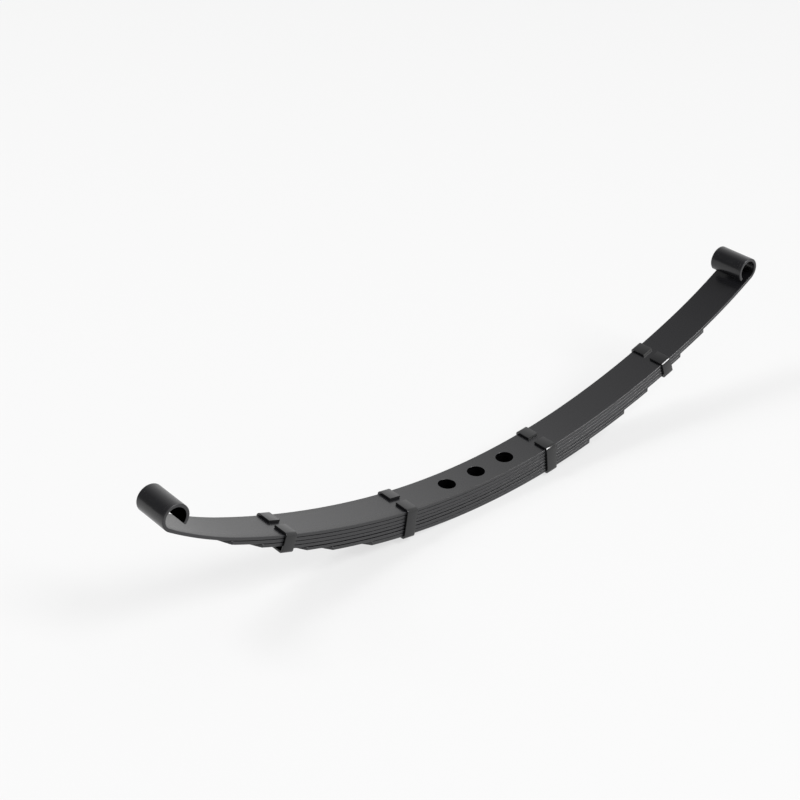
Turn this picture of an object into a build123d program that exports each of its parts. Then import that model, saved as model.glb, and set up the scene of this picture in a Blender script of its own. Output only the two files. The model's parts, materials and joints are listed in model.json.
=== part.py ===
from build123d import *
import math
import os

# Semi-elliptic leaf spring for a scale model truck, at rest and without load.
# Millimetres. +X runs along the spring to the rear eye, +Y across it, +Z up.
# The origin is on the axis of the centre hole, on the top face of the main leaf.
# "along" is always a distance measured along that top face from the centre hole,
# negative towards the front eye, and "depth" is a distance square below the top face.

# Leaves
leaf_width = 6.1
main_thickness = 0.55
leaf_thickness = 0.57
leaf_gap = 0.02
tip_taper_length = 1.8
tip_taper_depth = 1.5

# Where each graduated leaf ends, front and rear, from the longest to the shortest. The fourth
# leaf ends just past the outer clips, which are bent round it and the three above it.
leaf_ends = {
    "leaf_2": (-48.8, 49.0),
    "leaf_3": (-43.5, 43.3),
    "leaf_4": (-38.8, 39.4),
    "leaf_5": (-35.4, 35.4),
    "leaf_6": (-30.7, 30.0),
    "leaf_7": (-23.6, 22.3),
}

# Arch of the main leaf's top face, as (where the arc ends, its radius) from the centre hole
# out: the limbs are a little flatter than the seat, and each end bends up before its eye
arch = {
    -1: [(20.0, 102.8), (45.3, 122.7), (58.0, 56.7)],
    1: [(20.0, 102.8), (46.7, 126.6), (59.5, 82.1)],
}

# Eyes, rolled up from the ends of the main leaf
eye_bore_radius = 1.55
roll_sweep = 284.0

# Three holes down through the seat
hole_radius = 1.35
hole_pitch = 5.8

# Clips, bent from strip around the leaves with two ears folded over the main leaf
clip_width = 1.9
clip_sheet = 0.35
clip_clearance = 0.03
clip_bend_radius = 0.55
clip_ear_gap = 1.3
inner_clip_along = {-1: -15.3, 1: 12.4}
outer_clip_along = {-1: -37.4, 1: 38.2}
leaves_in_outer_clip = 4

# Flex joints: each limb turns on a round knuckle about a quarter of the way from its inner
# clip to its eye, where a straight arm follows the path of the real bending limb
flex_along = {-1: -26.2, 1: 24.6}
knuckle_radius = 2.3
knuckle_gap = 0.05
limb_reach = 200.0

sides = {"front": -1, "rear": 1}
leaf_names = ["main_leaf"] + list(leaf_ends)
leaf_thicknesses = [main_thickness] + [leaf_thickness] * len(leaf_ends)
leaf_depths = [sum(leaf_thicknesses[:i]) + i * leaf_gap for i in range(len(leaf_names))]
stack_depth = leaf_depths[-1] + leaf_thickness
outer_stack_depth = leaf_depths[leaves_in_outer_clip - 1] + leaf_thickness
limb_leaves = ["main_leaf"]
limb_leaves += [name for name, (front, rear) in leaf_ends.items() if rear > flex_along[1]]
limb_depth = leaf_depths[len(limb_leaves) - 1] + leaf_thickness


def follow(along):
    """X, Z and slope in radians of the top face this far along, with both ends taken as +X."""
    length = abs(along)
    x, z, angle, covered = 0.0, 0.0, 0.0, 0.0
    for arc_end, radius in arch[1 if along >= 0 else -1]:
        turned = angle + (min(length, arc_end) - covered) / radius
        x += radius * (math.sin(turned) - math.sin(angle))
        z += radius * (math.cos(angle) - math.cos(turned))
        angle = turned
        covered = arc_end
        if length <= arc_end:
            break
    return x, z, angle


def slope(along):
    """Angle of the top face above level at this place, in degrees, always positive."""
    return math.degrees(follow(along)[2])


def place(along, depth):
    """X and Z of the point this far along the top face and this far below it."""
    x, z, angle = follow(along)
    side = 1 if along >= 0 else -1
    return (side * (x + depth * math.sin(angle)), z - depth * math.cos(angle))


def long_edge(start, end, depth):
    """Arcs that follow the spring from start to end at one depth, in order."""
    stops = [start, end, 0.0]
    for side, arcs in arch.items():
        stops += [side * arc_end for arc_end, radius in arcs]
    low, high = min(start, end), max(start, end)
    stops = sorted({stop for stop in stops if low <= stop <= high}, reverse=end < start)
    edges = []
    for first, last in zip(stops, stops[1:]):
        middle = (first + last) / 2
        edges.append(ThreePointArc(place(first, depth), place(middle, depth), place(last, depth)))
    return edges


def across(face):
    """A side view made as thick as the leaf is wide, centred on Y = 0."""
    return extrude(face, amount=leaf_width / 2, both=True)


def side_face(edges):
    """A face in the XZ plane from edges drawn with their first number as X and second as Z."""
    flat = make_face(edges)
    return Plane.XZ.location * flat


def roll_start(side):
    """How far along the main leaf its roll starts."""
    return side * arch[side][-1][0]


def eye_centre(side):
    """X and Z of the axis of an eye."""
    return place(roll_start(side), -eye_bore_radius)


def around_eye(side, radius, turned):
    """The point at this radius about an eye, this far round the roll from where it starts."""
    x, z = eye_centre(side)
    angle = math.radians(slope(roll_start(side)) + turned)
    return (x + side * radius * math.sin(angle), z - radius * math.cos(angle))


def roll_edges(side):
    """Outer wall, end and bore of an eye, in order from the leaf's underside to its top face."""
    outer = eye_bore_radius + main_thickness
    half = roll_sweep / 2
    return [
        ThreePointArc(*[around_eye(side, outer, turn) for turn in (0, half, roll_sweep)]),
        Line(around_eye(side, outer, roll_sweep), around_eye(side, eye_bore_radius, roll_sweep)),
        ThreePointArc(*[around_eye(side, eye_bore_radius, turn) for turn in (roll_sweep, half, 0)]),
    ]


def main_leaf():
    """The longest leaf, with an eye rolled at each end."""
    front, rear = roll_start(-1), roll_start(1)
    edges = long_edge(front, rear, main_thickness)
    edges += roll_edges(1)
    edges += long_edge(rear, front, 0)
    edges += roll_edges(-1)
    return across(side_face(edges))


def tip_cutters(end):
    """Two wedges that taper the tip of a leaf that ends at this place."""
    side = 1 if end >= 0 else -1
    x, z = place(end, 0)
    outline = [
        (0, leaf_width / 2 - tip_taper_depth),
        (-tip_taper_length, leaf_width / 2),
        (-tip_taper_length, leaf_width),
        (tip_taper_length, leaf_width),
        (tip_taper_length, leaf_width / 2 - tip_taper_depth),
    ]
    wedge = extrude(make_face(Polyline(*outline, close=True)), amount=2 * stack_depth, both=True)
    pair = wedge + wedge.mirror(Plane.XZ)
    turned = Rot(0, -slope(end), 0) * pair
    if side < 0:
        turned = turned.mirror(Plane.YZ)
    return Pos(x, 0, z) * turned


def graduated_leaf(name, depth):
    """A plain leaf with tapered tips, under the main leaf."""
    front, rear = leaf_ends[name]
    lower = depth + leaf_thickness
    edges = long_edge(front, rear, lower)
    edges.append(Line(place(rear, lower), place(rear, depth)))
    edges += long_edge(rear, front, depth)
    edges.append(Line(place(front, depth), place(front, lower)))
    leaf = across(side_face(edges))
    return leaf - tip_cutters(front) - tip_cutters(rear)


def seat_holes():
    """Cutters for the three round holes."""
    tool = Pos(0, 0, -stack_depth / 2) * Cylinder(hole_radius, 4 * stack_depth)
    return [Pos(step * hole_pitch, 0, 0) * tool for step in (-1, 0, 1)]


def knuckle_axis(side):
    """X and Z of a flex joint's axis, half way down the leaves that reach it."""
    return place(flex_along[side], limb_depth / 2)


def limb_side(side, radius):
    """All the space that belongs to a limb: beyond its axis, and inside the knuckle's round."""
    x, z = knuckle_axis(side)
    beyond = Pos(limb_reach / 2, 0, 0) * Box(limb_reach, 2 * leaf_width, limb_reach)
    round_end = Rot(90, 0, 0) * Cylinder(radius, 2 * leaf_width)
    region = Rot(0, -slope(flex_along[side]), 0) * (beyond + round_end)
    if side < 0:
        region = region.mirror(Plane.YZ)
    return Pos(x, 0, z) * region


def clip(along, depth):
    """A strip bent round the leaves, open between its ears on the main leaf's top face."""
    half_inside = leaf_width / 2 + clip_clearance
    half_outside = half_inside + clip_sheet
    height_inside = depth + 2 * clip_clearance
    height_outside = height_inside + 2 * clip_sheet
    outside = RectangleRounded(2 * half_outside, height_outside, clip_bend_radius)
    inside = RectangleRounded(2 * half_inside, height_inside, clip_bend_radius - clip_sheet)
    mouth = Pos(0, height_outside / 2) * Rectangle(clip_ear_gap, height_outside)
    section = Pos(0, -depth / 2) * (outside - inside - mouth)
    band = extrude(Plane.YZ.location * section, amount=clip_width / 2, both=True)
    side = 1 if along >= 0 else -1
    x, z = place(along, 0)
    return Pos(x, 0, z) * Rot(0, -side * slope(along), 0) * band


def write(name, solid):
    """Save one node."""
    export_step(solid, f"parts/{name}.step")


os.makedirs("parts", exist_ok=True)
seat_limit = {side: limb_side(side, knuckle_radius + knuckle_gap) for side in sides.values()}
limb_limit = {side: limb_side(side, knuckle_radius) for side in sides.values()}

for name, depth in zip(leaf_names, leaf_depths):
    leaf = main_leaf() if name == "main_leaf" else graduated_leaf(name, depth)
    for hole in seat_holes():
        leaf -= hole
    if name not in limb_leaves:
        write(name, leaf)
        continue
    write(f"{name}_seat", leaf - seat_limit[-1] - seat_limit[1])
    for side_name, side in sides.items():
        write(f"{name}_{side_name}", leaf & limb_limit[side])

for side_name, side in sides.items():
    write(f"clip_{side_name}_inner", clip(inner_clip_along[side], stack_depth))
    write(f"clip_{side_name}_outer", clip(outer_clip_along[side], outer_stack_depth))
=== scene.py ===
"""Leaf spring for a scale model truck: the finished look of its leaves, eyes and clips.

Every leaf is made as the flat strip that it is cut from, drilled, and then bent to the arch
by a Geometry Nodes tree. Every clip is a strip bent round the leaves by another tree.
"""
import json
import math

import bmesh
import bpy
from mathutils import Matrix, Vector


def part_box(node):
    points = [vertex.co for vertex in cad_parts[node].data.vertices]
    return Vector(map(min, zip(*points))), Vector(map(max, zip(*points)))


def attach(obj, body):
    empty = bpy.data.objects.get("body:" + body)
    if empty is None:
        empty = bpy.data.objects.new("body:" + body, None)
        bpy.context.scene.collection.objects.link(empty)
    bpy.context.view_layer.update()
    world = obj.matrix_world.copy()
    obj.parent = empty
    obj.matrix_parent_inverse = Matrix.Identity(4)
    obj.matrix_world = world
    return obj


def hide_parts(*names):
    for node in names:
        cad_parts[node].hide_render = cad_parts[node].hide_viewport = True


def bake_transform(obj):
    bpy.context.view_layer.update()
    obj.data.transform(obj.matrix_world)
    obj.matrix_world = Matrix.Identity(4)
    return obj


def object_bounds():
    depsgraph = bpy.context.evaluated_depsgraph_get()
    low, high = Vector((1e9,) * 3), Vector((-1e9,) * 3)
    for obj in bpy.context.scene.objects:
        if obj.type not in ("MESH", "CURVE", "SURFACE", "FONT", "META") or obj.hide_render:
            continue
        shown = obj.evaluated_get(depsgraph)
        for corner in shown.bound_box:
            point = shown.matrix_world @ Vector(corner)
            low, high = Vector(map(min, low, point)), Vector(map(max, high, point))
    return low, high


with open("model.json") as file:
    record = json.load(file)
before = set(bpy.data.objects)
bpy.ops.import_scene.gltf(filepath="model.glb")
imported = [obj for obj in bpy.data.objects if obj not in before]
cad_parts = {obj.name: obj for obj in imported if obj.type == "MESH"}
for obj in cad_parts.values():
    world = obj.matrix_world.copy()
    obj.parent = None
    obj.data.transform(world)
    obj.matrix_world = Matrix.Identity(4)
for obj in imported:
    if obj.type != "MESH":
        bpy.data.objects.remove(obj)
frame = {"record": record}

bl_info = {
    "name": "Leaf spring",
    "version": (1, 0, 0),
    "blender": (4, 5, 0),
    "location": "3D View > Sidebar > Leaf spring",
    "description": "Makes the leaves, eyes and clips of a multi-leaf spring",
    "category": "Object",
}

MM = 0.001
CAD_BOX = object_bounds()
MOUNTS = {mount["name"]: mount for mount in frame["record"]["mounts"]}
LIMBS = {"front": -1, "rear": 1}
LEAVES = ["main_leaf", "leaf_2", "leaf_3", "leaf_4", "leaf_5", "leaf_6", "leaf_7"]
# The first six leaves reach past both flex joints, so each has a seat, front and rear node
LEAVES_PAST_JOINTS = 6
LEAVES_IN_OUTER_CLIP = 4
# Places in LEAVES of leaf 4 and leaf 5, which sit a little looser than the others
LOOSE_LEAVES = (3, 4)

# How finely the shapes are divided: along a leaf, along its rolls, across it, round a rounded
# edge's quarter turn, round a hole, round a clip's bend, and along the line the leaves follow
STATION = 0.5 * MM
ROLL_STATION = 0.1 * MM
SEAT_COLUMNS, LIMB_COLUMNS = 22, 6
CORNER_STEPS = 4
HOLE_FACETS = 72
BEND_STEPS = 6
LINE_STEP = 0.25 * MM
LINE_ROLL_STEPS = 90
# Halvings that find a place along the arch from its X
HALVINGS = 40

SMALLEST_ROUND = 0.02 * MM
# Edge wear and the painted edge highlight fade out this far from an edge
WEAR_AND_GLINT_REACH = 0.4 * MM
# The painted shade inside an eye starts this far past the start of its roll
ROLL_MOUTH = 3 * MM
# How far outside a hole's wall its vertices still count as inside, where shade is painted: on the main
# leaf only the wall does, and on the hidden leaves the broken edge too
MAIN_LIP, HIDDEN_LIP = 0.02 * MM, 0.09 * MM
TOUCH = 0.01 * MM

COAT_ROUGHNESS = (0.2, 0.29)
PAINT_ROUGHNESS = (0.08, 0.16)
# The middle of a noise texture's values, where most of them fall
NOISE_SPREAD = (0.3, 0.7)
BUMP_HEIGHT = 0.02 * MM
# Input numbers of the two colours of a Mix node
MIX_FIRST, MIX_SECOND = 6, 7

# The surround brightens toward this direction, from one end to the other as (place, strength)
BRIGHT_DIRECTION = (0.8, 0.0, -0.35)
DIM_END, BRIGHT_END = (-0.44, 0.2), (0.38, 1.13)
# Name, place, width and height in metres, power in watts, and whether it shows in reflections
SOFTBOXES = (
    ("near_softbox", (0.27, -0.61, 0.74), 0.36, 0.5, 13.2, True),
    ("far_softbox", (-0.44, 0.37, 0.81), 0.3, 0.3, 7.0, False),
    ("low_far_softbox", (-0.72, 0.62, 0.65), 0.3, 0.3, 4.0, False),
)
FLOOR_REACH = 3.0
SENSOR_WIDTH = 36.0
NEAREST_SEEN, FARTHEST_SEEN = 0.005, 20.0


def length_prop(name, description, mm):
    """A length with its default given in millimetres."""
    return bpy.props.FloatProperty(
        name=name, description=description, default=mm * MM, min=0, unit="LENGTH", precision=5
    )


def colour_prop(name, description, hex_colour):
    """A colour with its default given as sRGB hex."""
    return bpy.props.FloatVectorProperty(
        name=name, description=description, default=linear(hex_colour), size=3,
        min=0, max=1, subtype="COLOR",
    )


def linear(hex_colour):
    """Linear red, green and blue of an sRGB colour such as "#1a1b1d"."""
    parts = [int(hex_colour[i:i + 2], 16) / 255 for i in (1, 3, 5)]
    return tuple(c / 12.92 if c <= 0.04045 else ((c + 0.055) / 1.055) ** 2.4 for c in parts)


class SpringArchSettings(bpy.types.PropertyGroup):
    """The line of the main leaf's top face, and how the flat leaves are cut."""

    seat_radius: length_prop("Seat radius", "Radius of the arch over the seat", 102.8)
    seat_reach: length_prop("Seat reach", "Where the seat's arc ends, from the centre hole", 20.0)
    front_radius: length_prop("Front radius", "Radius of the arch along the front limb", 122.7)
    front_upturn: length_prop("Front upturn", "Where the front end starts to bend up", 45.3)
    front_upturn_radius: length_prop("Front upturn radius", "Radius of that bend", 56.7)
    front_roll: length_prop("Front roll", "Where the front eye's roll starts", 58.0)
    rear_radius: length_prop("Rear radius", "Radius of the arch along the rear limb", 126.6)
    rear_upturn: length_prop("Rear upturn", "Where the rear end starts to bend up", 46.7)
    rear_upturn_radius: length_prop("Rear upturn radius", "Radius of that bend", 82.1)
    rear_roll: length_prop("Rear roll", "Where the rear eye's roll starts", 59.5)
    roll_sweep: bpy.props.FloatProperty(
        name="Roll sweep", description="How far round each eye is rolled",
        default=math.radians(284), subtype="ANGLE", unit="ROTATION",
    )


class SpringLeafSettings(bpy.types.PropertyGroup):
    """Sizes and colours of the leaves."""

    width: length_prop("Width", "Width of every leaf", 6.1)
    main_thickness: length_prop("Main leaf thickness", "Thickness of the main leaf", 0.55)
    thickness: length_prop("Leaf thickness", "Thickness of the other leaves", 0.57)
    gap: length_prop("Gap", "Clearance between leaves", 0.02)
    relief: length_prop("Relief", "How far a leaf's underside stands off the leaf below it", 0.06)
    loose_relief: length_prop("Loose relief", "The same for the fourth and fifth leaves", 0.12)
    edge_round: length_prop("Edge rounding", "Rounding of the rolled edges", 0.09)
    taper_length: length_prop("Tip taper length", "Length of the taper at each tip", 1.8)
    taper_depth: length_prop("Tip taper depth", "How far each side tapers in", 1.5)
    hole_chamfer: length_prop("Hole chamfer", "Broken edge of the holes", 0.03)
    coat: colour_prop("Coat", "Black coat on the leaves", "#0e0e10")
    # Lighter edge colour: partly wear, partly a painted highlight along the leaf edges
    worn_and_glint_coat: colour_prop("Worn coat", "Coat where the edges are rubbed thin", "#343436")


class SpringClipSettings(bpy.types.PropertyGroup):
    """Sizes and colours of the clips."""

    strip_width: length_prop("Strip width", "Width of the strip a clip is bent from", 1.9)
    sheet: length_prop("Sheet", "Thickness of that strip", 0.35)
    clearance: length_prop("Clearance", "Room between a clip and the leaves", 0.03)
    bend_radius: length_prop("Bend radius", "Outer radius of a clip's bends", 0.55)
    ear_gap: length_prop("Ear gap", "Gap between the two folded ears", 1.3)
    edge_round: length_prop("Edge rounding", "Rounding of the strip's edges", 0.06)
    paint: colour_prop("Paint", "Black paint on the clips", "#111112")


class SpringStageSettings(bpy.types.PropertyGroup):
    """Floor and camera."""

    floor_colour: colour_prop("Floor", "Colour of the floor", "#646464")
    floor_glow: bpy.props.FloatProperty(
        name="Floor glow", description="How brightly the floor is lit from below", default=0.68
    )
    camera_distance: length_prop("Camera distance", "Distance from the point it aims at", 270.76)
    camera_azimuth: bpy.props.FloatProperty(
        name="Camera azimuth", description="Turn round the spring, 0 looks along +Y",
        default=math.radians(-40.27), subtype="ANGLE", unit="ROTATION",
    )
    camera_elevation: bpy.props.FloatProperty(
        name="Camera elevation", description="Angle above level",
        default=math.radians(30.63), subtype="ANGLE", unit="ROTATION",
    )
    camera_roll: bpy.props.FloatProperty(
        name="Camera roll", description="Turn about its own line of sight",
        default=math.radians(0.49), subtype="ANGLE", unit="ROTATION",
    )
    camera_aim: bpy.props.FloatVectorProperty(
        name="Camera aim", description="The point that the camera aims at",
        default=(4.66 * MM, 23.18 * MM, 0), subtype="TRANSLATION", unit="LENGTH",
    )
    camera_lens: bpy.props.FloatProperty(
        name="Lens", description="Focal length of the camera in millimetres", default=76.2
    )


def arch_arcs(side):
    """(Where the arc ends, its radius) from the centre hole out, on one side."""
    arch = bpy.context.scene.spring_arch
    name = "front" if side < 0 else "rear"
    return [
        (arch.seat_reach, arch.seat_radius),
        (getattr(arch, f"{name}_upturn"), getattr(arch, f"{name}_radius")),
        (getattr(arch, f"{name}_roll"), getattr(arch, f"{name}_upturn_radius")),
    ]


def roll_start(side):
    """How far along the main leaf an eye's roll starts."""
    return side * arch_arcs(side)[-1][0]


def follow(along):
    """X, Z and slope of the main leaf's top face this far along, with both ends taken as +X."""
    length = abs(along)
    x, z, angle, covered = 0.0, 0.0, 0.0, 0.0
    for arc_end, radius in arch_arcs(1 if along >= 0 else -1):
        turned = angle + (min(length, arc_end) - covered) / radius
        x += radius * (math.sin(turned) - math.sin(angle))
        z += radius * (math.cos(angle) - math.cos(turned))
        angle = turned
        covered = arc_end
        if length <= arc_end:
            break
    return x, z, angle


def place(along, depth):
    """The point this far along the top face and this far below it, at mid width."""
    x, z, angle = follow(along)
    side = 1 if along >= 0 else -1
    return Vector((side * (x + depth * math.sin(angle)), 0, z - depth * math.cos(angle)))


def along_at(x, depth):
    """How far along the spring a point at this depth has this X."""
    side = 1 if x >= 0 else -1
    low, high = 0.0, abs(roll_start(side))
    for _ in range(HALVINGS):
        middle = (low + high) / 2
        if abs(place(side * middle, depth).x) < abs(x):
            low = middle
        else:
            high = middle
    return side * low


def leaf_thickness(index):
    """Thickness of a leaf, counted from the main leaf down."""
    leaf = bpy.context.scene.spring_leaf
    return leaf.main_thickness if index == 0 else leaf.thickness


def leaf_bottom(index):
    """Height of a leaf's underside in the flat, a little high so that a dark gap shows under it."""
    leaf = bpy.context.scene.spring_leaf
    relief = leaf.loose_relief if index in LOOSE_LEAVES else leaf.relief
    if index == len(LEAVES) - 1:
        relief = 0.0
    return relief - leaf_depth(index) - leaf_thickness(index)


def leaf_depth(index):
    """Depth of a leaf's top face below the main leaf's."""
    gap = bpy.context.scene.spring_leaf.gap
    return sum(leaf_thickness(i) + gap for i in range(index))


def clip_along(name):
    """How far along the spring a clip sits, from the middle of its CAD node."""
    low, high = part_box(name)
    index = LEAVES_IN_OUTER_CLIP if name.endswith("outer") else len(LEAVES)
    depth = leaf_depth(index) - bpy.context.scene.spring_leaf.gap
    return along_at((low.x + high.x) / 2, depth / 2)


def leaf_tip(index, side):
    """Where a leaf ends on one side, from the tip of its CAD node."""
    name = LEAVES[index]
    if index < LEAVES_PAST_JOINTS:
        name += "_front" if side < 0 else "_rear"
    low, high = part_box(name)
    return along_at(low.x if side < 0 else high.x, leaf_depth(index) + leaf_thickness(index))


def add(tree, kind, inputs=None, **settings):
    """Add a node, set its settings, and set or link its inputs."""
    node = tree.nodes.new(kind)
    for name, value in settings.items():
        setattr(node, name, value)
    for key, value in (inputs or {}).items():
        if isinstance(value, bpy.types.NodeSocket):
            tree.links.new(value, node.inputs[key])
        else:
            node.inputs[key].default_value = value
    return node


def new_tree(name, sockets):
    """A Geometry Nodes tree with these named inputs, one geometry output, and its input node."""
    tree = bpy.data.node_groups.new(name, "GeometryNodeTree")
    tree.interface.new_socket("Geometry", in_out="INPUT", socket_type="NodeSocketGeometry")
    for socket, kind in sockets.items():
        tree.interface.new_socket(socket, in_out="INPUT", socket_type=kind)
    tree.interface.new_socket("Geometry", in_out="OUTPUT", socket_type="NodeSocketGeometry")
    return tree, add(tree, "NodeGroupInput").outputs


def end_tree(tree, geometry, material):
    """Make the result real, give it its material and send it out."""
    real = add(tree, "GeometryNodeRealizeInstances", {"Geometry": geometry})
    finished = add(
        tree, "GeometryNodeSetMaterial",
        {"Geometry": real.outputs["Geometry"], "Material": material},
    )
    add(tree, "NodeGroupOutput", {"Geometry": finished.outputs["Geometry"]})


def bend_tree():
    """Bends a flat strip along a curve: its X runs along the curve, its Z stands square to it."""
    tree, given = new_tree(
        "bend_to_arch",
        {"Arch": "NodeSocketObject", "Arch Start": "NodeSocketFloat", "Material": "NodeSocketMaterial"},
    )
    arch = add(tree, "GeometryNodeObjectInfo", {"Object": given["Arch"]})
    flat = add(tree, "ShaderNodeSeparateXYZ", {0: add(tree, "GeometryNodeInputPosition").outputs[0]})
    length = add(tree, "ShaderNodeMath", {0: flat.outputs["X"], 1: given["Arch Start"]})
    sample = add(
        tree, "GeometryNodeSampleCurve",
        {"Curves": arch.outputs["Geometry"], "Length": length.outputs[0]},
        mode="LENGTH", use_all_curves=True,
    )
    square = add(
        tree, "ShaderNodeVectorMath",
        {0: sample.outputs["Tangent"], 1: (0, 1, 0)}, operation="CROSS_PRODUCT",
    )
    unit = add(tree, "ShaderNodeVectorMath", {0: square.outputs[0]}, operation="NORMALIZE")
    up = add(
        tree, "ShaderNodeVectorMath",
        {0: unit.outputs[0], "Scale": flat.outputs["Z"]}, operation="SCALE",
    )
    across = add(tree, "ShaderNodeCombineXYZ", {"Y": flat.outputs["Y"]})
    offset = add(tree, "ShaderNodeVectorMath", {0: up.outputs[0], 1: across.outputs[0]})
    bent = add(tree, "ShaderNodeVectorMath", {0: sample.outputs["Position"], 1: offset.outputs[0]})
    moved = add(
        tree, "GeometryNodeSetPosition",
        {"Geometry": given["Geometry"], "Position": bent.outputs[0]},
    )
    end_tree(tree, moved.outputs["Geometry"], given["Material"])
    return tree


def clip_tree():
    """Bends a strip along an open outline with round corners."""
    tree, given = new_tree(
        "bent_clip",
        {
            "Bend Radius": "NodeSocketFloat", "Bend Steps": "NodeSocketInt",
            "Sheet": "NodeSocketFloat", "Strip Width": "NodeSocketFloat",
            "Edge Rounding": "NodeSocketFloat", "Material": "NodeSocketMaterial",
        },
    )
    outline = add(
        tree, "GeometryNodeFilletCurve",
        {"Curve": given["Geometry"], "Count": given["Bend Steps"], "Radius": given["Bend Radius"]},
        mode="POLY",
    )
    turned = add(
        tree, "GeometryNodeSetCurveNormal", {"Curve": outline.outputs["Curve"]}, mode="Z_UP"
    )
    strip = add(
        tree, "GeometryNodeCurvePrimitiveQuadrilateral",
        {"Width": given["Sheet"], "Height": given["Strip Width"]},
    )
    section = add(
        tree, "GeometryNodeFilletCurve",
        {"Curve": strip.outputs["Curve"], "Count": CORNER_STEPS, "Radius": given["Edge Rounding"]},
        mode="POLY",
    )
    band = add(
        tree, "GeometryNodeCurveToMesh",
        {
            "Curve": turned.outputs["Curve"], "Profile Curve": section.outputs["Curve"],
            "Fill Caps": True,
        },
    )
    end_tree(tree, band.outputs["Mesh"], given["Material"])
    return tree


def run_tree(obj, tree, **inputs):
    """Run a tree on an object and return its result as a plain mesh."""
    modifier = obj.modifiers.new(tree.name, "NODES")
    modifier.node_group = tree
    for socket in tree.interface.items_tree:
        key = socket.name.lower().replace(" ", "_")
        if socket.in_out == "INPUT" and key in inputs:
            modifier[socket.identifier] = inputs[key]
    evaluated = obj.evaluated_get(bpy.context.evaluated_depsgraph_get())
    mesh = bpy.data.meshes.new_from_object(evaluated)
    obj.modifiers.remove(modifier)
    return mesh


def finish_shading(mesh, crease_degrees=35):
    """Smooth the rounded faces and keep the real edges crisp."""
    mesh.polygons.foreach_set("use_smooth", [True] * len(mesh.polygons))
    mesh.set_sharp_from_angle(angle=math.radians(crease_degrees))


def show(name, mesh):
    """Put a finished mesh in the scene, with its place in its vertices."""
    if not mesh.polygons:
        raise RuntimeError(f"{name} came out empty")
    obj = bpy.data.objects.new(name, mesh)
    bpy.context.scene.collection.objects.link(obj)
    return obj


def arch_curve():
    """The line that the leaves are bent to, from the front eye's roll to the rear eye's."""
    bore = MOUNTS["front_eye"]["dims"]["r_mm"] * MM
    sweep = bpy.context.scene.spring_arch.roll_sweep
    front, rear = roll_start(-1), roll_start(1)
    count = round((rear - front) / LINE_STEP)
    points = [place(front + i * (rear - front) / count, 0) for i in range(count + 1)]
    for side in (-1, 1):
        start = roll_start(side)
        centre, angle = place(start, -bore), follow(start)[2]
        turns = [angle + sweep * i / LINE_ROLL_STEPS for i in range(1, LINE_ROLL_STEPS + 1)]
        rolled = [
            centre + bore * Vector((side * math.sin(turn), 0, -math.cos(turn))) for turn in turns
        ]
        points = rolled[::-1] + points if side < 0 else points + rolled
    data = bpy.data.curves.new("arch_line", "CURVE")
    data.dimensions = "3D"
    spline = data.splines.new("POLY")
    spline.points.add(len(points) - 1)
    for spot, point in zip(spline.points, points):
        spot.co = (*point, 1)
    return bpy.data.objects.new("arch_line", data)


def strip_rows(index, start, end, tips):
    """Stations along a flat leaf, as (along, half width, inset): rounded and tapered at its tips."""
    leaf = bpy.context.scene.spring_leaf
    half, rounding = leaf.width / 2, leaf.edge_round
    count = max(2, math.ceil((end - start) / STATION))
    spots = [start, end]
    spots += [start + (end - start) * i / count for i in range(1, count)]
    if index == 0:
        front_steps = round((roll_start(-1) - start) / ROLL_STATION)
        rear_steps = round((end - roll_start(1)) / ROLL_STATION)
        spots += [start + i * ROLL_STATION for i in range(front_steps)]
        spots += [end - i * ROLL_STATION for i in range(rear_steps)]
    insets = {}
    for tip, inward in ((start, 1), (end, -1)):
        if tip not in tips:
            continue
        clear = 1.5 * rounding
        spots = [s for s in spots if (s - tip) * inward > clear]
        for i in range(CORNER_STEPS + 1):
            angle = math.radians(90 / CORNER_STEPS * i)
            spot = tip + inward * rounding * (1 - math.sin(angle))
            insets[spot] = rounding * (1 - math.cos(angle))
            spots.append(spot)
        if index:
            spots.append(tip + inward * leaf.taper_length)
    rows = []
    for spot in sorted(set(spots)):
        width = half
        for tip in tips:
            into = 1 - abs(spot - tip) / leaf.taper_length
            if index and into > 0:
                width = half - leaf.taper_depth * into
        rows.append((spot, width, insets.get(spot, 0.0)))
    return rows


def strip_section(half, top, bottom, rounding, columns):
    """Outline of a leaf cut across, as (Y, Z): rounded edges and evenly divided flats."""
    support = 0.5 * rounding
    flat = half - rounding
    inner = flat - support
    ys = [-flat] + [-inner + 2 * inner * i / columns for i in range(columns + 1)] + [flat]
    corner = [math.radians(90 / CORNER_STEPS * i) for i in range(1, CORNER_STEPS)]
    points = [(y, top) for y in ys]
    points += [
        (flat + rounding * math.sin(a), top - rounding * (1 - math.cos(a))) for a in corner
    ]
    points += [(half, top - rounding), (half, bottom + rounding)]
    points += [
        (flat + rounding * math.cos(a), bottom + rounding * (1 - math.sin(a))) for a in corner
    ]
    points += [(y, bottom) for y in reversed(ys)]
    points += [
        (-flat - rounding * math.sin(a), bottom + rounding * (1 - math.cos(a))) for a in corner
    ]
    points += [(-half, bottom + rounding), (-half, top - rounding)]
    points += [
        (-flat - rounding * math.cos(a), top - rounding * (1 - math.sin(a))) for a in corner
    ]
    return points


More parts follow.
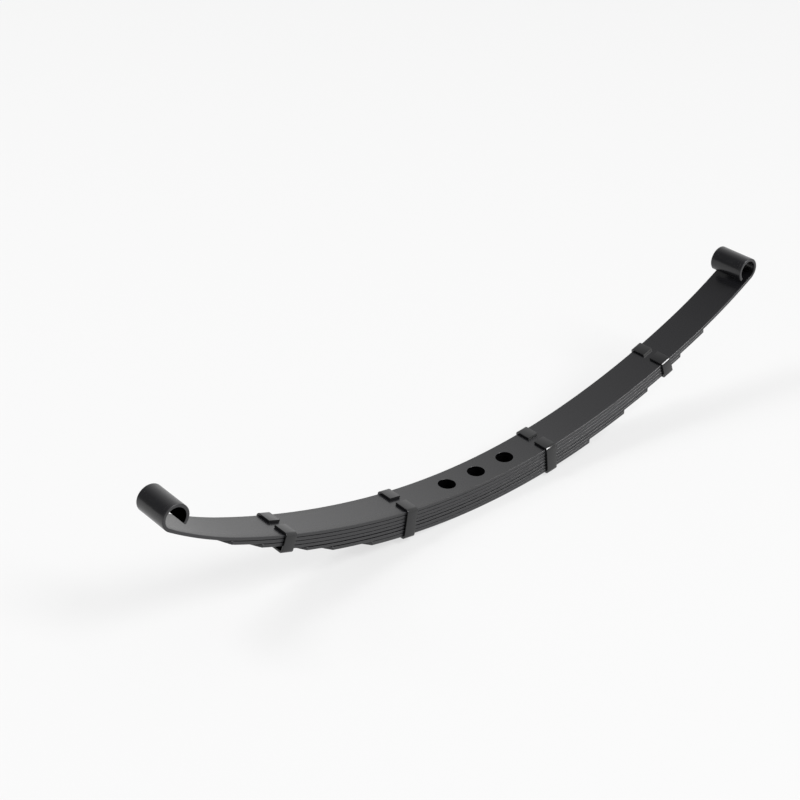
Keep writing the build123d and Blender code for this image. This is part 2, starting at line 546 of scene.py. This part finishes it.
def flat_strip(name, index, start, end, tips, columns):
    """One length of a leaf before it is bent, lying along X with the arch's top face at Z = 0."""
    leaf = bpy.context.scene.spring_leaf
    top = -leaf_depth(index)
    bottom = leaf_bottom(index)
    build = bmesh.new()
    rings = []
    for spot, half, inset in strip_rows(index, start, end, tips):
        rounding = max(leaf.edge_round - inset, SMALLEST_ROUND)
        section = strip_section(half - inset, top - inset, bottom + inset, rounding, columns)
        rings.append([build.verts.new((spot, y, z)) for y, z in section])
    for near, far in zip(rings, rings[1:]):
        for i in range(len(near)):
            j = (i + 1) % len(near)
            build.faces.new((near[i], far[i], far[j], near[j]))
    build.faces.new(rings[0])
    build.faces.new(rings[-1][::-1])
    bmesh.ops.recalc_face_normals(build, faces=build.faces)
    mesh = bpy.data.meshes.new(name)
    build.to_mesh(mesh)
    build.free()
    return bpy.data.objects.new(name, mesh)


def drill(strip, index):
    """Cut the three seat holes through a flat leaf, with their edges broken."""
    leaf = bpy.context.scene.spring_leaf
    radius = MOUNTS["centre_hole"]["dims"]["r_mm"] * MM
    pitch = MOUNTS["outer_holes"]["dims"]["spacing_x_mm"] * MM / 2
    top = -leaf_depth(index)
    bottom = leaf_bottom(index)
    seat_radius = bpy.context.scene.spring_arch.seat_radius
    shift = seat_radius * math.asin(pitch / (seat_radius - (top + bottom) / 2))
    flare, chamfer = 0.2 * MM, leaf.hole_chamfer
    profile = [
        (radius + chamfer + flare, top + flare), (radius, top - chamfer),
        (radius, bottom + chamfer), (radius + chamfer + flare, bottom - flare),
    ]
    build = bmesh.new()
    for centre in (-shift, 0.0, shift):
        rings = []
        for ring_radius, z in profile:
            angles = [2 * math.pi * i / HOLE_FACETS for i in range(HOLE_FACETS)]
            rings.append([
                build.verts.new((centre + ring_radius * math.cos(a), ring_radius * math.sin(a), z))
                for a in angles
            ])
        for near, far in zip(rings, rings[1:]):
            for i in range(HOLE_FACETS):
                j = (i + 1) % HOLE_FACETS
                build.faces.new((near[i], near[j], far[j], far[i]))
        build.faces.new(rings[0])
        build.faces.new(rings[-1][::-1])
    bmesh.ops.recalc_face_normals(build, faces=build.faces)
    mesh = bpy.data.meshes.new("drill")
    build.to_mesh(mesh)
    build.free()
    cutter = bpy.data.objects.new("drill", mesh)
    bpy.context.scene.collection.objects.link(cutter)
    cut = strip.modifiers.new("holes", "BOOLEAN")
    cut.operation, cut.solver, cut.object = "DIFFERENCE", "EXACT", cutter
    evaluated = strip.evaluated_get(bpy.context.evaluated_depsgraph_get())
    drilled = bpy.data.meshes.new_from_object(evaluated)
    strip.modifiers.remove(cut)
    if len(drilled.polygons) <= len(strip.data.polygons):
        raise RuntimeError(f"the holes did not cut {strip.name}")
    strip.data = drilled
    bpy.data.objects.remove(cutter)
    return shift


def mark_flat_place(mesh, index, tips, holes):
    """Store each vertex's place on the flat leaf, its edge wear and painted edge highlight, and if it
    is inside a bore, where shade is painted.
    """
    leaf = bpy.context.scene.spring_leaf
    radius = MOUNTS["centre_hole"]["dims"]["r_mm"] * MM
    front_mouth, rear_mouth = roll_start(-1) - ROLL_MOUTH, roll_start(1) + ROLL_MOUTH
    lip = HIDDEN_LIP if index else MAIN_LIP
    inside = mesh.attributes.new("inside_bore", "FLOAT", "POINT")
    flat = mesh.attributes.new("flat_place", "FLOAT_VECTOR", "POINT")
    edge_wear_and_glint = mesh.attributes.new("rubbed_edge", "FLOAT", "POINT")
    for vertex in mesh.vertices:
        x, y, z = vertex.co
        half = leaf.width / 2
        nearest = WEAR_AND_GLINT_REACH
        for tip in tips:
            into = 1 - abs(x - tip) / leaf.taper_length
            if index and into > 0:
                half = leaf.width / 2 - leaf.taper_depth * into
            nearest = min(nearest, abs(x - tip))
        nearest = min(nearest, abs(half - abs(y)))
        for hole in holes:
            nearest = min(nearest, abs(math.hypot(x - hole, y) - radius))
        on_top = z > -leaf_depth(index) - TOUCH
        in_eye = index == 0 and on_top and not front_mouth <= x <= rear_mouth
        in_hole = any(math.hypot(x - hole, y) < radius + lip for hole in holes)
        # The inside_bore mask sets where shade is painted into the coat
        inside.data[vertex.index].value = float(in_hole or in_eye)
        flat.data[vertex.index].vector = vertex.co
        # The edge mark sets both the edge wear and a painted highlight along the edges
        edge_wear_and_glint.data[vertex.index].value = 1 - nearest / WEAR_AND_GLINT_REACH


def make_leaf(index, tree, arch, material):
    """One leaf in three lengths that meet under the inner clips: its seat and its two limbs."""
    name = LEAVES[index]
    scene = bpy.context.scene
    roll = MOUNTS["front_eye"]["dims"]["r_mm"] * MM * scene.spring_arch.roll_sweep
    if index == 0:
        tips = {side: roll_start(side) + side * roll for side in (-1, 1)}
    else:
        tips = {side: leaf_tip(index, side) for side in (-1, 1)}
    joins = {side: clip_along(f"clip_{word}_inner") for word, side in LIMBS.items()}
    lengths = {
        "seat": (joins[-1], joins[1]), "front": (tips[-1], joins[-1]), "rear": (joins[1], tips[1])
    }
    arch_start = roll - roll_start(-1)
    for part, (start, end) in lengths.items():
        ends = [] if part == "seat" else [tips[LIMBS[part]]]
        columns = SEAT_COLUMNS if part == "seat" else LIMB_COLUMNS
        strip = flat_strip(f"{name}_{part}_flat", index, start, end, ends, columns)
        scene.collection.objects.link(strip)
        holes = []
        if part == "seat":
            shift = drill(strip, index)
            holes = [-shift, 0.0, shift]
        mark_flat_place(strip.data, index, ends, holes)
        mesh = run_tree(strip, tree, arch=arch, arch_start=arch_start, material=material)
        bpy.data.objects.remove(strip)
        finish_shading(mesh)
        piece = show(f"{name}_{part}_steel", mesh)
        if index < LEAVES_PAST_JOINTS:
            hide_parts(f"{name}_{part}")
        elif part == "seat":
            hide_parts(name)
        if part == "seat":
            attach(piece, "seat")
        else:
            flex_limb(piece, part)


def flex_limb(piece, part):
    """Bake a limb's leaf in place. The ends of its span, at the seat's clip and the outer clip, are
    worked out but not used.
    """
    side = LIMBS[part]
    clip = bpy.context.scene.spring_clip
    inner, outer = clip_along(f"clip_{part}_inner"), clip_along(f"clip_{part}_outer")
    depth = leaf_depth(len(LEAVES)) / 2
    start = place(inner + side * 0.5 * clip.strip_width, depth)
    end = place(outer - side * 0.5 * clip.strip_width, depth)
    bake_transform(piece)


def make_clip(name, tree, material):
    """One clip, bent round the leaves that it holds."""
    clip = bpy.context.scene.spring_clip
    leaf = bpy.context.scene.spring_leaf
    index = LEAVES_IN_OUTER_CLIP if name.endswith("outer") else len(LEAVES)
    depth = leaf_depth(index) - leaf.gap
    middle = clip.clearance + clip.sheet / 2
    side, low, high = leaf.width / 2 + middle, -depth - middle, middle
    ear = clip.ear_gap / 2
    outline = [(ear, high), (side, high), (side, low), (-side, low), (-side, high), (-ear, high)]
    data = bpy.data.curves.new(f"{name}_outline", "CURVE")
    data.dimensions = "3D"
    spline = data.splines.new("POLY")
    spline.points.add(len(outline) - 1)
    for spot, (y, z) in zip(spline.points, outline):
        spot.co = (y, z, 0, 1)
    path = bpy.data.objects.new(f"{name}_outline", data)
    bpy.context.scene.collection.objects.link(path)
    mesh = run_tree(
        path, tree, bend_radius=clip.bend_radius - clip.sheet / 2, bend_steps=BEND_STEPS,
        sheet=clip.sheet, strip_width=clip.strip_width, edge_rounding=clip.edge_round,
        material=material,
    )
    bpy.data.objects.remove(path)
    along = clip_along(name)
    centre, slope = place(along, 0), math.copysign(follow(along)[2], along)
    lengthwise = Vector((math.cos(slope), 0, math.sin(slope)))
    upward = Vector((-math.sin(slope), 0, math.cos(slope)))
    turn = Matrix((
        (0, upward.x, lengthwise.x, centre.x), (1, 0, 0, 0), (0, upward.z, lengthwise.z, centre.z),
        (0, 0, 0, 1),
    ))
    mesh.transform(turn)
    finish_shading(mesh)
    piece = show(f"{name}_band", mesh)
    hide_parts(name)
    word = name.split("_")[1]
    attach(piece, f"{word}_limb" if name.endswith("outer") else "seat")


def new_material(name):
    """A material with its shader, its node tree and its Object coordinates."""
    material = bpy.data.materials.new(name)
    material.use_nodes = True
    tree = material.node_tree
    tree.nodes.clear()
    shader = add(tree, "ShaderNodeBsdfPrincipled")
    add(tree, "ShaderNodeOutputMaterial", {"Surface": shader.outputs[0]})
    return material, tree, shader


def black_coated_spring_steel():
    """Black electrocoat on rolled strip: satin, with faint lines along the leaf, edges lightened partly
    by wear and partly by painted highlight, and painted shade inside the holes and eyes.
    """
    leaf = bpy.context.scene.spring_leaf
    material, tree, shader = new_material("black_coated_spring_steel")
    flat = add(tree, "ShaderNodeAttribute", attribute_name="flat_place").outputs["Vector"]
    edge_wear_and_glint = add(tree, "ShaderNodeAttribute", attribute_name="rubbed_edge").outputs["Fac"]
    # Rolling leaves fine lines along the strip, drawn coarser than real ones so that they show
    line_length, line_spacing = 4 * MM, 0.12 * MM
    lines_place = add(
        tree, "ShaderNodeMapping",
        {"Vector": flat, "Scale": (1 / line_length, 1 / line_spacing, 1 / line_spacing)},
    )
    lines = add(
        tree, "ShaderNodeTexNoise",
        {"Vector": lines_place.outputs[0], "Scale": 1.0, "Detail": 3.0, "Roughness": 0.6},
    )
    # The coat flows out as it is baked and keeps a fine grain
    grain_size = 0.18 * MM
    grain = add(
        tree, "ShaderNodeTexNoise",
        {"Vector": flat, "Scale": 1 / grain_size, "Detail": 2.0, "Roughness": 0.55},
    )
    # Handling leaves cloudy patches
    patch_size = 7 * MM
    patches = add(
        tree, "ShaderNodeTexNoise",
        {"Vector": flat, "Scale": 1 / patch_size, "Detail": 4.0, "Roughness": 0.6},
    )
    # The edges are lightened: partly wear, partly a painted highlight standing in for glints along the
    # leaf edges
    wear_and_glint = add(
        tree, "ShaderNodeMath", {0: edge_wear_and_glint, 1: patches.outputs["Fac"]}, operation="MULTIPLY"
    )
    wear_and_glint_amount = add(
        tree, "ShaderNodeMapRange",
        {"Value": wear_and_glint.outputs[0], "From Min": 0.3, "From Max": 0.75, "To Min": 0.0, "To Max": 0.7},
    )
    colour = add(
        tree, "ShaderNodeMix",
        {
            "Factor": wear_and_glint_amount.outputs[0], MIX_FIRST: (*leaf.coat, 1),
            MIX_SECOND: (*leaf.worn_and_glint_coat, 1),
        },
        data_type="RGBA",
    )
    # Inside the holes and eyes the colour is dimmed and the shine taken away: painted shade, so that
    # they look black
    painted_bore_shade = add(tree, "ShaderNodeAttribute", attribute_name="inside_bore").outputs["Fac"]
    dim = add(tree, "ShaderNodeMapRange", {"Value": painted_bore_shade, "To Min": 1.0, "To Max": 0.1})
    dimmed = add(
        tree, "ShaderNodeVectorMath",
        {0: colour.outputs[2], "Scale": dim.outputs[0]}, operation="SCALE",
    )
    tree.links.new(dimmed.outputs[0], shader.inputs["Base Color"])
    sheen = add(tree, "ShaderNodeMapRange", {"Value": painted_bore_shade, "To Min": 0.5, "To Max": 0.0})
    tree.links.new(sheen.outputs[0], shader.inputs["Specular IOR Level"])
    roughness = add(
        tree, "ShaderNodeMapRange",
        {
            "Value": patches.outputs["Fac"], "From Min": NOISE_SPREAD[0], "From Max": NOISE_SPREAD[1],
            "To Min": COAT_ROUGHNESS[0], "To Max": COAT_ROUGHNESS[1],
        },
    )
    # Rubbed edges, lightened partly by wear and partly by painted highlight, are a little duller than
    # the coat, so they catch the light without sparkling
    dulling = 0.12
    dulled = add(
        tree, "ShaderNodeMath", {0: edge_wear_and_glint, 1: dulling, 2: roughness.outputs[0]},
        operation="MULTIPLY_ADD",
    )
    tree.links.new(dulled.outputs[0], shader.inputs["Roughness"])
    lines_bump = add(
        tree, "ShaderNodeBump",
        {"Height": lines.outputs["Fac"], "Strength": 0.12, "Distance": BUMP_HEIGHT},
    )
    grain_bump = add(
        tree, "ShaderNodeBump",
        {
            "Height": grain.outputs["Fac"], "Strength": 0.25, "Distance": BUMP_HEIGHT,
            "Normal": lines_bump.outputs[0],
        },
    )
    tree.links.new(grain_bump.outputs[0], shader.inputs["Normal"])
    return material


def black_painted_sheet():
    """Semi-gloss black paint on bent sheet: smoother and darker than the leaves, with fine ripple."""
    clip = bpy.context.scene.spring_clip
    material, tree, shader = new_material("black_painted_sheet")
    place_on = add(tree, "ShaderNodeTexCoord").outputs["Object"]
    # Thin paint dries with a ripple, and fingers leave wider smears on it
    ripple_size, smear_size = 0.35 * MM, 1.6 * MM
    darkest, lightest = 0.8, 1.2
    ripple = add(
        tree, "ShaderNodeTexNoise",
        {"Vector": place_on, "Scale": 1 / ripple_size, "Detail": 2.0, "Roughness": 0.5},
    )
    smears = add(
        tree, "ShaderNodeTexNoise",
        {"Vector": place_on, "Scale": 1 / smear_size, "Detail": 3.0, "Roughness": 0.6},
    )
    shade = add(
        tree, "ShaderNodeMix",
        {
            "Factor": smears.outputs["Fac"], MIX_FIRST: (*[darkest * c for c in clip.paint], 1),
            MIX_SECOND: (*[lightest * c for c in clip.paint], 1),
        },
        data_type="RGBA",
    )
    tree.links.new(shade.outputs[2], shader.inputs["Base Color"])
    roughness = add(
        tree, "ShaderNodeMapRange",
        {
            "Value": smears.outputs["Fac"], "From Min": NOISE_SPREAD[0], "From Max": NOISE_SPREAD[1],
            "To Min": PAINT_ROUGHNESS[0], "To Max": PAINT_ROUGHNESS[1],
        },
    )
    tree.links.new(roughness.outputs[0], shader.inputs["Roughness"])
    bump = add(
        tree, "ShaderNodeBump",
        {"Height": ripple.outputs["Fac"], "Strength": 0.15, "Distance": BUMP_HEIGHT},
    )
    tree.links.new(bump.outputs[0], shader.inputs["Normal"])
    return material


def backlit_opal_acrylic():
    """Opal light-table sheet: matt and lit mostly from below, so that shadows on it stay faint."""
    stage = bpy.context.scene.spring_stage
    material, tree, shader = new_material("backlit_opal_acrylic")
    shader.inputs["Base Color"].default_value = (*stage.floor_colour, 1)
    shader.inputs["Roughness"].default_value = 0.9
    shader.inputs["Specular IOR Level"].default_value = 0.0
    shader.inputs["Emission Color"].default_value = (1, 1, 1, 1)
    shader.inputs["Emission Strength"].default_value = stage.floor_glow
    return material


def shared(kind, name, maker):
    """Something made once and used by more than one operator."""
    found = getattr(bpy.data, kind).get(name)
    return found if found else maker()


class SPRING_OT_main_leaf(bpy.types.Operator):
    """Make the main leaf, with its two rolled eyes"""

    bl_idname = "spring.main_leaf"
    bl_label = "Main leaf"

    def execute(self, context):
        tree = shared("node_groups", "bend_to_arch", bend_tree)
        material = shared("materials", "black_coated_spring_steel", black_coated_spring_steel)
        arch = shared("objects", "arch_line", arch_curve)
        make_leaf(0, tree, arch, material)
        return {"FINISHED"}


class SPRING_OT_graduated_leaves(bpy.types.Operator):
    """Make the shorter leaves under the main leaf"""

    bl_idname = "spring.graduated_leaves"
    bl_label = "Graduated leaves"

    def execute(self, context):
        tree = shared("node_groups", "bend_to_arch", bend_tree)
        material = shared("materials", "black_coated_spring_steel", black_coated_spring_steel)
        arch = shared("objects", "arch_line", arch_curve)
        for index in range(1, len(LEAVES)):
            make_leaf(index, tree, arch, material)
        return {"FINISHED"}


class SPRING_OT_clips(bpy.types.Operator):
    """Make the four clips that are bent round the leaves"""

    bl_idname = "spring.clips"
    bl_label = "Clips"

    def execute(self, context):
        tree = shared("node_groups", "bent_clip", clip_tree)
        material = shared("materials", "black_painted_sheet", black_painted_sheet)
        for word in LIMBS:
            make_clip(f"clip_{word}_inner", tree, material)
            make_clip(f"clip_{word}_outer", tree, material)
        return {"FINISHED"}


class SPRING_OT_stage(bpy.types.Operator):
    """Make the floor, the lights and the camera"""

    bl_idname = "spring.stage"
    bl_label = "Stage"

    def execute(self, context):
        stage = context.scene.spring_stage
        self.make_floor(context, stage)
        self.make_lights(context)
        self.make_camera(context, stage)
        return {"FINISHED"}

    def make_floor(self, context, stage):
        """A wide pale floor that the spring's belly rests on."""
        reach, level = FLOOR_REACH, CAD_BOX[0].z
        mesh = bpy.data.meshes.new("floor")
        corners = [(-reach, -reach), (reach, -reach), (reach, reach), (-reach, reach)]
        mesh.from_pydata([(x, y, level) for x, y in corners], [], [(0, 1, 2, 3)])
        mesh.materials.append(backlit_opal_acrylic())
        floor = bpy.data.objects.new("floor", mesh)
        context.scene.collection.objects.link(floor)

    def make_lights(self, context):
        """A surround that is brighter on one side, and softboxes on both sides of the spring."""
        world = bpy.data.worlds.new("studio_surround")
        context.scene.world = world
        world.use_nodes = True
        tree = world.node_tree
        tree.nodes.clear()
        direction = add(tree, "ShaderNodeTexCoord").outputs["Generated"]
        brightening = add(
            tree, "ShaderNodeVectorMath", {0: direction, 1: BRIGHT_DIRECTION}, operation="DOT_PRODUCT"
        )
        strength = add(
            tree, "ShaderNodeMapRange",
            {
                "Value": brightening.outputs["Value"],
                "From Min": DIM_END[0], "From Max": BRIGHT_END[0],
                "To Min": DIM_END[1], "To Max": BRIGHT_END[1],
            },
        )
        surround = add(
            tree, "ShaderNodeBackground", {"Color": (1, 1, 1, 1), "Strength": strength.outputs["Result"]}
        )
        add(tree, "ShaderNodeOutputWorld", {"Surface": surround.outputs[0]})
        for name, place_at, width, height, power, shows in SOFTBOXES:
            data = bpy.data.lights.new(name, "AREA")
            data.shape, data.size, data.size_y, data.energy = "RECTANGLE", width, height, power
            light = bpy.data.objects.new(name, data)
            light.location = place_at
            light.rotation_euler = (-light.location).to_track_quat("-Z", "Y").to_euler()
            light.visible_glossy = shows
            context.scene.collection.objects.link(light)
        context.scene.view_settings.view_transform = "Standard"

    def make_camera(self, context, stage):
        """The camera looks down on the front end from the left."""
        azimuth, elevation = stage.camera_azimuth, stage.camera_elevation
        back = Vector((
            math.sin(azimuth) * math.cos(elevation), -math.cos(azimuth) * math.cos(elevation),
            math.sin(elevation),
        ))
        data = bpy.data.cameras.new("camera")
        data.lens, data.sensor_width = stage.camera_lens, SENSOR_WIDTH
        data.clip_start, data.clip_end = NEAREST_SEEN, FARTHEST_SEEN
        camera = bpy.data.objects.new("camera", data)
        camera.location = Vector(stage.camera_aim) + stage.camera_distance * back
        camera.rotation_mode = "QUATERNION"
        roll = Matrix.Rotation(stage.camera_roll, 3, "Z").to_quaternion()
        camera.rotation_quaternion = (-back).to_track_quat("-Z", "Y") @ roll
        context.scene.collection.objects.link(camera)
        context.scene.camera = camera


class SPRING_PT_panel(bpy.types.Panel):
    """Lists the spring's operators"""

    bl_label = "Leaf spring"
    bl_idname = "SPRING_PT_panel"
    bl_space_type = "VIEW_3D"
    bl_region_type = "UI"
    bl_category = "Leaf spring"

    def draw(self, context):
        for operator in OPERATORS:
            self.layout.operator(operator.bl_idname)


SETTINGS = {
    "spring_arch": SpringArchSettings,
    "spring_leaf": SpringLeafSettings,
    "spring_clip": SpringClipSettings,
    "spring_stage": SpringStageSettings,
}
OPERATORS = (
    SPRING_OT_main_leaf, SPRING_OT_graduated_leaves, SPRING_OT_clips, SPRING_OT_stage
)


def register():
    for name, group in SETTINGS.items():
        bpy.utils.register_class(group)
        setattr(bpy.types.Scene, name, bpy.props.PointerProperty(type=group))
    for cls in (*OPERATORS, SPRING_PT_panel):
        bpy.utils.register_class(cls)


def unregister():
    for cls in (SPRING_PT_panel, *reversed(OPERATORS)):
        bpy.utils.unregister_class(cls)
    for name, group in SETTINGS.items():
        delattr(bpy.types.Scene, name)
        bpy.utils.unregister_class(group)


def main():
    register()
    bpy.ops.spring.main_leaf()
    bpy.ops.spring.graduated_leaves()
    bpy.ops.spring.clips()
    bpy.ops.spring.stage()


if __name__ == "__main__":
    main()
